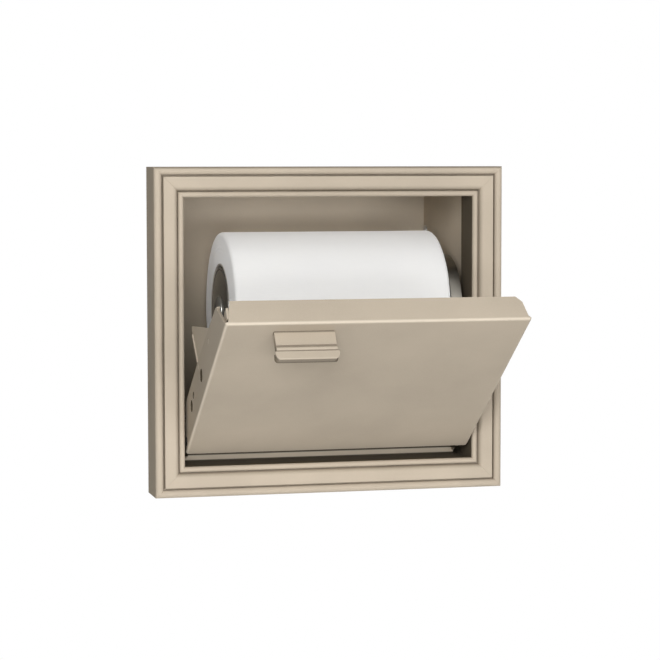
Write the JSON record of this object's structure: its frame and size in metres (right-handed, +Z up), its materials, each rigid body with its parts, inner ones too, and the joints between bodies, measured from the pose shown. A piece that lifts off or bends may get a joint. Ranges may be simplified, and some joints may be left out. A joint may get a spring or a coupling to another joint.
{
  "type": "recessed toilet paper holder",
  "caption": "Recessed toilet paper holder with a mitred frame, a drop-down door that opens on a bottom hinge, and a roll on a plug-in spindle.",
  "frame": {"origin": "centre of the frame on the wall plane, which is also the centre of the wall screw holes", "axes": "+X right as seen from the room, +Y into the wall, +Z up"},
  "size_m": [0.182, 0.2028, 0.1666],
  "materials": {
    "frame_paint": "satin champagne paint",
    "recess_paint": "satin champagne paint over sheet steel",
    "door_paint": "satin champagne paint",
    "nickel": "satin nickel",
    "dark_nickel": "polished dark nickel",
    "zinc": "zinc plated",
    "black_plastic": "moulded",
    "cardboard": "spiral-wound grey board",
    "paper": "soft tissue"
  },
  "bodies": {
    "housing": {"rail_top": "frame_paint", "rail_bottom": "frame_paint", "rail_left": "frame_paint", "rail_right": "frame_paint", "corner_keys": "zinc", "key_screws": "zinc", "recess_wrap": "recess_paint", "recess_back": "recess_paint", "seam_rivets": "zinc", "frame_clips": "zinc", "clip_rivets": "zinc", "hinge_bracket": "recess_paint", "bracket_screws": "zinc", "hinge_pin_left": "zinc", "hinge_pin_right": "zinc", "catch_body": "black_plastic", "catch_magnet": "zinc", "catch_screws": "zinc", "roll_arm": "nickel", "arm_screws": "zinc", "socket_magnet": "zinc"},
    "door": {"door_panel": "door_paint", "door_pull": "door_paint", "pull_rivets": "zinc", "catch_blade": "door_paint", "blade_rivets": "zinc", "hinge_bushes": "black_plastic", "stop_pins": "zinc"},
    "spindle": {"spindle_rod": "nickel", "retaining_washer": "zinc", "retaining_screw": "zinc"},
    "roller": {"roller_sleeve": "dark_nickel", "roller_bushes": "black_plastic", "roller_end_cap": "dark_nickel", "roll_core": "cardboard", "paper_roll": "paper"}
  },
  "joints": [
    {"name": "door_hinge", "type": "hinge", "parent": "housing", "child": "door", "pos_m": [0, -0.0185, -0.05535], "axis": [1, 0, 0], "range_deg": [-55, 0]},
    {"name": "spindle_slide", "type": "slide", "parent": "housing", "child": "spindle", "axis": [-1, 0, 0], "range_m": [0, 0.01]},
    {"name": "roller_spin", "type": "hinge", "parent": "spindle", "child": "roller", "pos_m": [0, 0.022, 0.008], "axis": [1, 0, 0], "continuous": true}
  ]
}
